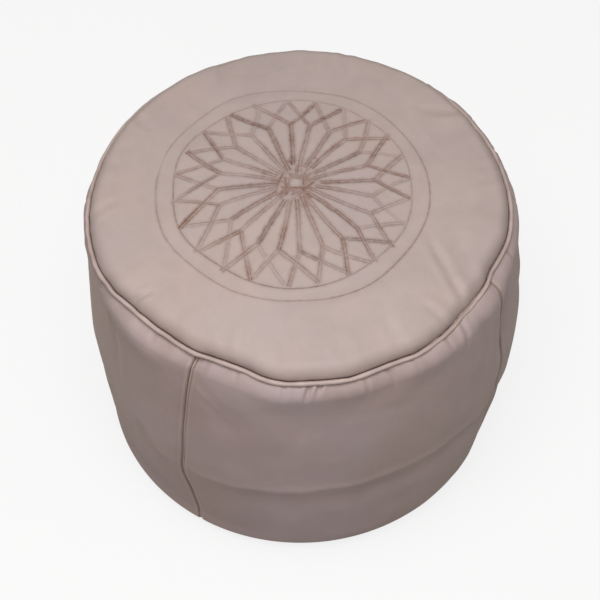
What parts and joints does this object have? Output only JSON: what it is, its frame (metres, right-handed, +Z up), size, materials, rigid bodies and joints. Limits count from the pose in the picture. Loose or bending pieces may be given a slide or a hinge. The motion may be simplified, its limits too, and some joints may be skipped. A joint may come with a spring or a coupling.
{
  "type": "moroccan leather pouf",
  "caption": "Round stuffed leather pouf with a tooled rosette on its crown, a piped top seam, welted side seams and a zipped base.",
  "frame": {"origin": "on the floor, under the middle of the pouf", "axes": "+Z up through the crown; the zip runs along X and closes towards +X; -Y is the front panel; side seams at 45 degrees to X and Y"},
  "size_m": [0.5, 0.5, 0.4],
  "materials": {
    "crown_leather": "vegetable-tanned, satin, mottled pink-beige",
    "side_leather": "vegetable-tanned, satin, mottled taupe",
    "piping_leather": "vegetable-tanned, satin, lighter along its top",
    "base_leather": "vegetable-tanned, matte",
    "cotton_cord": "twisted cotton",
    "zip_tape": "woven polyester twill",
    "zip_teeth": "moulded acetal",
    "zip_metal": "antique brass",
    "sewing_thread": "waxed polyester",
    "bag_cotton": "plain unbleached calico",
    "filling_fibre": "loose recycled cotton and polyester fibre",
    "wadding": "bonded polyester wadding"
  },
  "bodies": {
    "pouf": {"top_panel": "crown_leather", "piping_cover": "piping_leather", "piping_cord": "cotton_cord", "side_panel_front": "side_leather", "side_panel_right": "side_leather", "side_panel_back": "side_leather", "side_panel_left": "side_leather", "side_welt_front_left": "side_leather", "side_welt_front_right": "side_leather", "side_welt_back_right": "side_leather", "side_welt_back_left": "side_leather", "base_panel_front": "base_leather", "base_panel_back": "base_leather", "zip_tape_front": "zip_tape", "zip_tape_back": "zip_tape", "zip_teeth_front": "zip_teeth", "zip_teeth_back": "zip_teeth", "zip_stops": "zip_metal", "top_seam_thread": "sewing_thread", "base_seam_thread": "sewing_thread", "side_seam_threads": "sewing_thread", "zip_threads": "sewing_thread", "inner_bag_top": "bag_cotton", "inner_bag_side": "bag_cotton", "inner_bag_base": "bag_cotton", "filling_core": "filling_fibre", "crown_pad": "wadding", "side_wadding": "wadding", "base_pad": "wadding"},
    "zip_slider": {"zip_slider": "zip_metal"},
    "zip_pull": {"zip_pull": "zip_metal"}
  },
  "joints": [
    {"name": "zip_slide", "type": "slide", "parent": "pouf", "child": "zip_slider", "axis": [-1, 0, 0], "range_m": [0, 0.3469], "deforming": ["zip_teeth_front", "zip_teeth_back"]},
    {"name": "zip_pull_swing", "type": "hinge", "parent": "zip_slider", "child": "zip_pull", "pos_m": [0.17345, 0, 0.0044], "axis": [0, -1, 0], "range_deg": [0, 180]}
  ]
}
